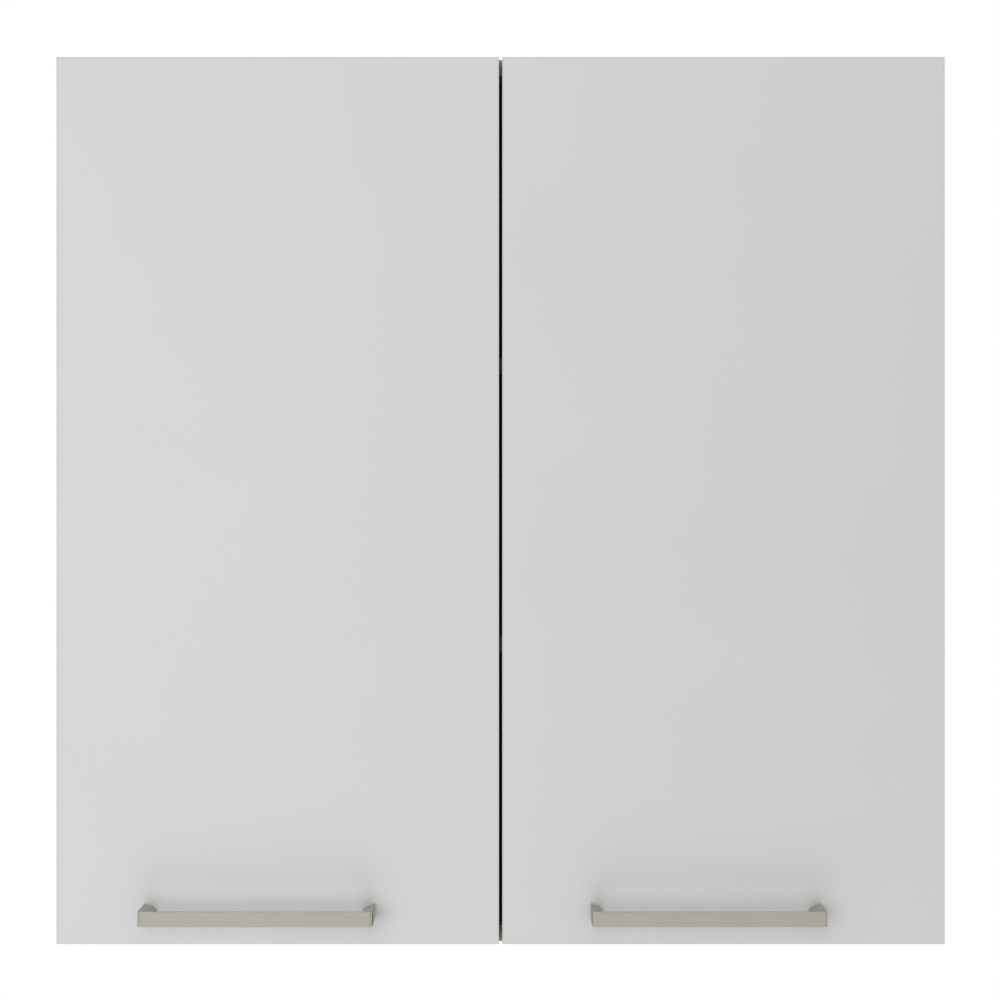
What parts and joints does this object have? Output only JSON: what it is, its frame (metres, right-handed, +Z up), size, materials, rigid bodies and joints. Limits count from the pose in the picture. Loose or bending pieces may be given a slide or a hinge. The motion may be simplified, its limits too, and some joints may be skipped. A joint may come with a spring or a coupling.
{
  "type": "hanging wall cabinet",
  "caption": "Square wall-hung cabinet with a melamine carcass, loose shelves, overlay slab doors on concealed cup hinges, and low bar handles.",
  "frame": {"origin": "on the wall plane, in the middle of the pattern of four wall screw holes", "axes": "+X to the right as seen from the front, +Y into the wall, +Z up"},
  "size_m": [0.8, 0.37, 0.8],
  "materials": {
    "carcass_board": "melamine-faced board with an oak decor",
    "carcass_edging": "printed plastic edging, oak decor",
    "back_board": "thin fibre board, printed oak decor on the inside",
    "dowel_beech": "bare beech",
    "bright_steel": "zinc-plated steel",
    "cast_zinc": "die-cast zinc, tumbled",
    "galvanised_steel": "galvanised sheet steel",
    "hanger_plastic": "moulded plastic, fine texture",
    "door_board": "board with a matt light-grey lacquered face",
    "door_edging": "light-grey plastic edging",
    "bumper_rubber": "soft translucent pad",
    "satin_nickel": "zinc casting, satin nickel plated",
    "hinge_steel": "nickel-plated stamped steel",
    "pin_steel": "ground steel pin"
  },
  "bodies": {
    "carcass": {"side_panel_left": "carcass_board", "side_panel_right": "carcass_board", "top_panel": "carcass_board", "bottom_panel": "carcass_board", "shelf_lower": "carcass_board", "shelf_upper": "carcass_board", "carcass_edging": "carcass_edging", "shelf_edging": "carcass_edging", "back_panel": "back_board", "dowels": "dowel_beech", "cam_bolts": "bright_steel", "shelf_pins": "bright_steel", "hanger_screws": "bright_steel", "hinge_plate_screws": "bright_steel", "hinge_arm_screws": "bright_steel", "cam_locks": "cast_zinc", "wall_plate_left": "galvanised_steel", "wall_plate_right": "galvanised_steel", "hanger_hook_left": "galvanised_steel", "hanger_hook_right": "galvanised_steel", "hanger_housing_left": "hanger_plastic", "hanger_housing_right": "hanger_plastic", "hanger_cover_left": "hanger_plastic", "hanger_cover_right": "hanger_plastic", "hinge_plate_left_lower": "hinge_steel", "hinge_arm_left_lower": "hinge_steel", "hinge_plate_left_upper": "hinge_steel", "hinge_arm_left_upper": "hinge_steel", "hinge_plate_right_lower": "hinge_steel", "hinge_arm_right_lower": "hinge_steel", "hinge_plate_right_upper": "hinge_steel", "hinge_arm_right_upper": "hinge_steel", "hinge_arm_pins": "pin_steel"},
    "door_left": {"door_panel_left": "door_board", "door_edging_left": "door_edging", "door_bumpers_left": "bumper_rubber", "handle_left": "satin_nickel", "handle_screws_left": "bright_steel", "hinge_cup_left_lower": "hinge_steel", "hinge_cup_left_upper": "hinge_steel", "hinge_cup_pins_left": "pin_steel", "hinge_cup_screws_left": "bright_steel"},
    "long_levers_left": {"hinge_long_lever_left_lower": "hinge_steel", "hinge_long_lever_left_upper": "hinge_steel"},
    "short_levers_left": {"hinge_short_levers_left_lower": "hinge_steel", "hinge_short_levers_left_upper": "hinge_steel"},
    "door_right": {"door_panel_right": "door_board", "door_edging_right": "door_edging", "door_bumpers_right": "bumper_rubber", "handle_right": "satin_nickel", "handle_screws_right": "bright_steel", "hinge_cup_right_lower": "hinge_steel", "hinge_cup_right_upper": "hinge_steel", "hinge_cup_pins_right": "pin_steel", "hinge_cup_screws_right": "bright_steel"},
    "long_levers_right": {"hinge_long_lever_right_lower": "hinge_steel", "hinge_long_lever_right_upper": "hinge_steel"},
    "short_levers_right": {"hinge_short_levers_right_lower": "hinge_steel", "hinge_short_levers_right_upper": "hinge_steel"}
  },
  "joints": [
    {"name": "long_levers_left_swing", "type": "hinge", "parent": "carcass", "child": "long_levers_left", "pos_m": [-0.36908, -0.31284, 0], "axis": [0, 0, -1], "range_deg": [-37, 0]},
    {"name": "door_left_swing", "type": "hinge", "parent": "long_levers_left", "child": "door_left", "pos_m": [-0.38832, -0.3247, 0], "axis": [0, 0, -1], "range_deg": [0, 130.43]},
    {"name": "short_levers_left_swing", "type": "hinge", "parent": "carcass", "child": "short_levers_left", "pos_m": [-0.3655, -0.32939, 0], "axis": [0, 0, -1], "range_deg": [-35, 0]},
    {"name": "long_levers_right_swing", "type": "hinge", "parent": "carcass", "child": "long_levers_right", "pos_m": [0.36908, -0.31284, 0], "axis": [0, 0, 1], "range_deg": [-37, 0]},
    {"name": "door_right_swing", "type": "hinge", "parent": "long_levers_right", "child": "door_right", "pos_m": [0.38832, -0.3247, 0], "axis": [0, 0, 1], "range_deg": [0, 130.43]},
    {"name": "short_levers_right_swing", "type": "hinge", "parent": "carcass", "child": "short_levers_right", "pos_m": [0.3655, -0.32939, 0], "axis": [0, 0, 1], "range_deg": [-35, 0]}
  ],
  "couplings": [
    {"joint": "long_levers_left_swing", "follows": "door_left_swing", "ratio": -0.27933},
    {"joint": "short_levers_left_swing", "follows": "door_left_swing", "ratio": -0.26405},
    {"joint": "long_levers_right_swing", "follows": "door_right_swing", "ratio": -0.27933},
    {"joint": "short_levers_right_swing", "follows": "door_right_swing", "ratio": -0.26405}
  ]
}
